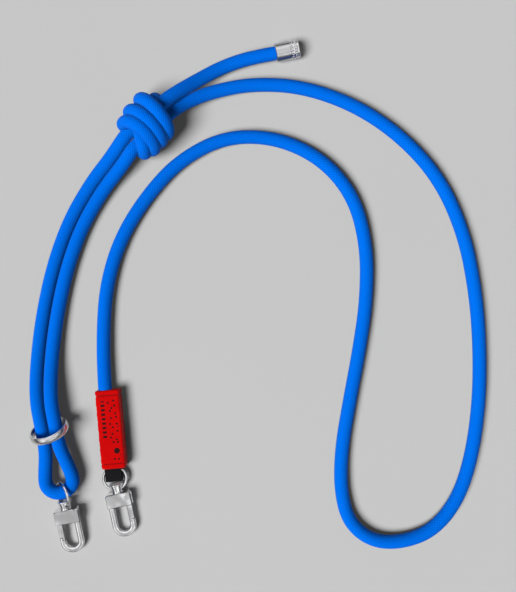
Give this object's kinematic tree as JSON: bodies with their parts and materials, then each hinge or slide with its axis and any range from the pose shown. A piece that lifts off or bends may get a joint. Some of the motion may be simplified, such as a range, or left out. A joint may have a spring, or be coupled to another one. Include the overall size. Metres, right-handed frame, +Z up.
{
  "type": "rope carrying strap",
  "caption": "Braided rope carrying strap with a wrapped adjusting knot, a slider ring, a red label sleeve, a metal-tipped tail and swivel snap hooks.",
  "frame": {"origin": "on the ground, under the middle of the box around the fittings (hooks, rings, label and ferrule) without the rope", "axes": "+Z up; +Y from the snap hooks towards the ferrule end of the short tail; +X to the side the long rope run lies on"},
  "size_m": [0.2683, 0.3022, 0.0304],
  "materials": {
    "rope": "braided synthetic cord, slight sheen",
    "dark_metal": "polished black nickel",
    "polished_steel": "polished",
    "plated_wire": "bright nickel plate",
    "satin_zinc": "satin plated casting",
    "red_sleeve": "smooth coated, fine grain",
    "thread": "sewing thread",
    "webbing": "tight woven webbing",
    "clamp": "moulded"
  },
  "bodies": {
    "strap": {"rope_long_run": "rope", "rope_leg_loop": "rope", "rope_tail": "rope", "rope_knot": "rope", "tail_ferrule": "dark_metal", "ferrule_end_cap": "dark_metal", "label_sleeve": "red_sleeve", "label_stitching": "thread", "webbing_tab": "webbing", "end_clamp": "clamp"},
    "slider": {"slider_ring": "polished_steel"},
    "ring_a": {"clasp_ring_a": "plated_wire"},
    "eye_a": {"swivel_eye_a": "satin_zinc"},
    "hook_a": {"hook_body_a": "satin_zinc", "gate_pin_a": "plated_wire", "gate_spring_a": "plated_wire"},
    "gate_a": {"hook_gate_a": "satin_zinc"},
    "ring_b": {"clasp_ring_b": "plated_wire"},
    "eye_b": {"swivel_eye_b": "satin_zinc"},
    "hook_b": {"hook_body_b": "satin_zinc", "gate_pin_b": "plated_wire", "gate_spring_b": "plated_wire"},
    "gate_b": {"hook_gate_b": "satin_zinc"}
  },
  "joints": [
    {"name": "slider_slide", "type": "slide", "parent": "strap", "child": "slider", "axis": [-0.177, 0.9842, 0], "range_m": [-0.004, 0.008]},
    {"name": "ring_a_lean", "type": "hinge", "parent": "strap", "child": "ring_a", "pos_m": [-0.05971, -0.11571, 0.00665], "axis": [0.2639, -0.9646, 0], "range_deg": [0, 55]},
    {"name": "eye_a_on_ring", "type": "hinge", "parent": "ring_a", "child": "eye_a", "pos_m": [-0.05855, -0.12206, 0.00585], "axis": [0.5863, 0.0065, 0.8101], "range_deg": [-10, 10]},
    {"name": "hook_a_swivel", "type": "hinge", "parent": "eye_a", "child": "hook_a", "pos_m": [-0.0581, -0.1245, 0.00555], "axis": [-0.1792, 0.9762, 0.1219], "continuous": true},
    {"name": "gate_a_open", "type": "hinge", "parent": "hook_a", "child": "gate_a", "pos_m": [-0.06256, -0.12845, 0.00517], "axis": [0.022, -0.1199, 0.9925], "range_deg": [0, 22], "stiffness_Nm_per_rad": 0.02},
    {"name": "ring_b_in_tab", "type": "slide", "parent": "strap", "child": "ring_b", "axis": [0.0889, -0.996, 0], "range_m": [0, 0.0025]},
    {"name": "eye_b_on_ring", "type": "hinge", "parent": "ring_b", "child": "eye_b", "pos_m": [-0.02839, -0.11266, 0.00427], "axis": [0.9803, 0.1977, 0], "range_deg": [-10, 10]},
    {"name": "hook_b_swivel", "type": "hinge", "parent": "eye_b", "child": "hook_b", "pos_m": [-0.0279, -0.1151, 0.0041], "axis": [-0.1972, 0.9781, 0.0671], "continuous": true},
    {"name": "gate_b_open", "type": "hinge", "parent": "hook_b", "child": "gate_b", "pos_m": [-0.02229, -0.11712, 0.00389], "axis": [-0.0133, 0.0658, -0.9977], "range_deg": [0, 22], "stiffness_Nm_per_rad": 0.02}
  ]
}
